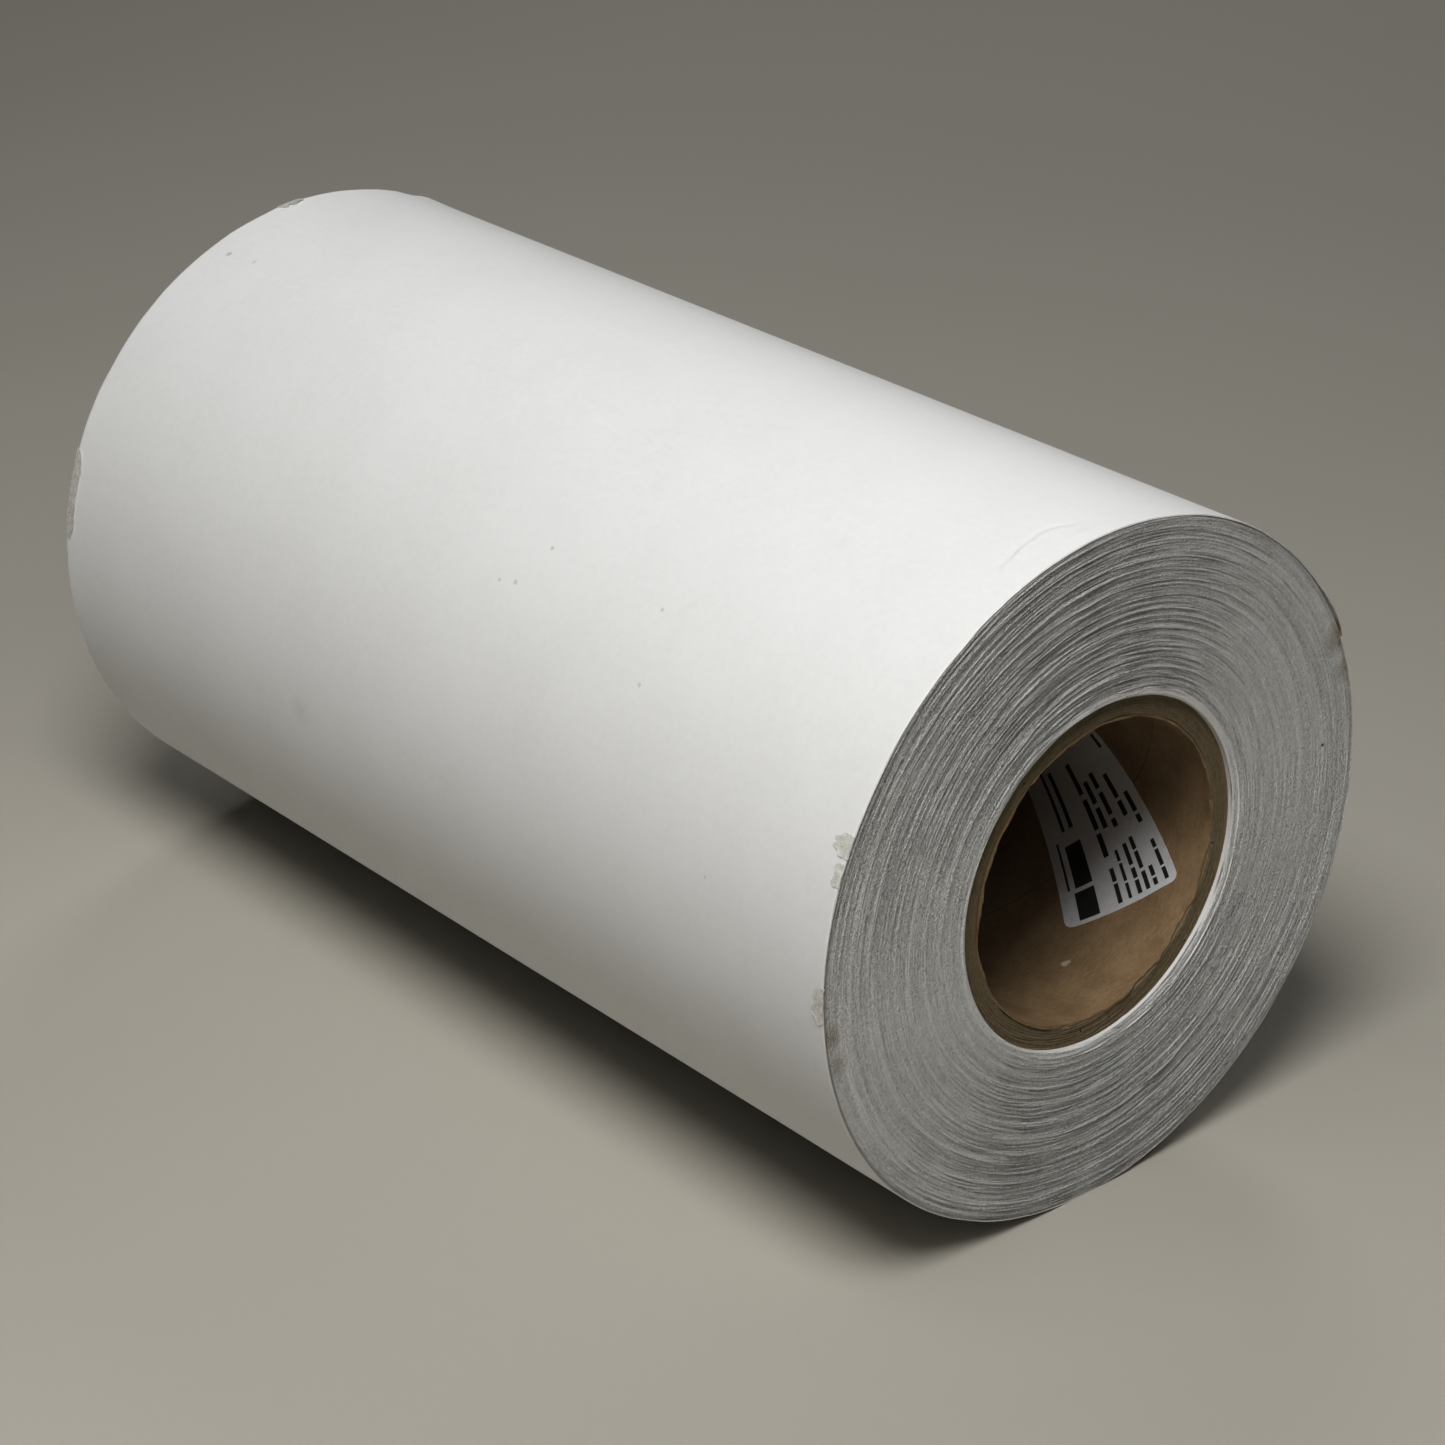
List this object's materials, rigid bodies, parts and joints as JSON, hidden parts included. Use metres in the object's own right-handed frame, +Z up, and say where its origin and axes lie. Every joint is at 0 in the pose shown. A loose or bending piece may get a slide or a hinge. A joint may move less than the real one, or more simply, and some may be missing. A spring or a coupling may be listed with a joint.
{
  "type": "backdrop paper roll",
  "caption": "Short roll of white paper wound on a spiral-wound board core, with a free tail edge that lifts off the roll.",
  "frame": {"origin": "on the surface the roll lies on, under the middle of its length", "axes": "+X along the core towards the end that carries the label inside the core, +Z up, +Y to the side on which the free tail lies"},
  "size_m": [0.3048, 0.1723, 0.1721],
  "materials": {
    "white_paper": "matte",
    "kraft_liner": "matte",
    "core_board": "matte",
    "label_paper": "satin",
    "clear_tape": "gloss"
  },
  "bodies": {
    "roll": {"core_inner_liner": "kraft_liner", "core_board_ply_1": "core_board", "core_board_ply_2": "core_board", "core_board_ply_3": "core_board", "core_board_ply_4": "core_board", "core_board_ply_5": "core_board", "core_board_ply_6": "core_board", "core_board_ply_7": "core_board", "core_outer_liner": "kraft_liner", "start_tape": "clear_tape", "paper_first_turns": "white_paper", "paper_pack": "white_paper", "paper_last_turn": "white_paper", "core_label": "label_paper", "tape_scraps_front": "clear_tape", "tape_scraps_rear": "clear_tape"},
    "tail": {"paper_tail": "white_paper", "closing_tape": "clear_tape"}
  },
  "joints": [
    {"name": "tail_lift", "type": "hinge", "parent": "roll", "child": "tail", "pos_m": [0, 0.04581, 0.15919], "axis": [1, 0, 0], "range_deg": [0, 75]}
  ]
}
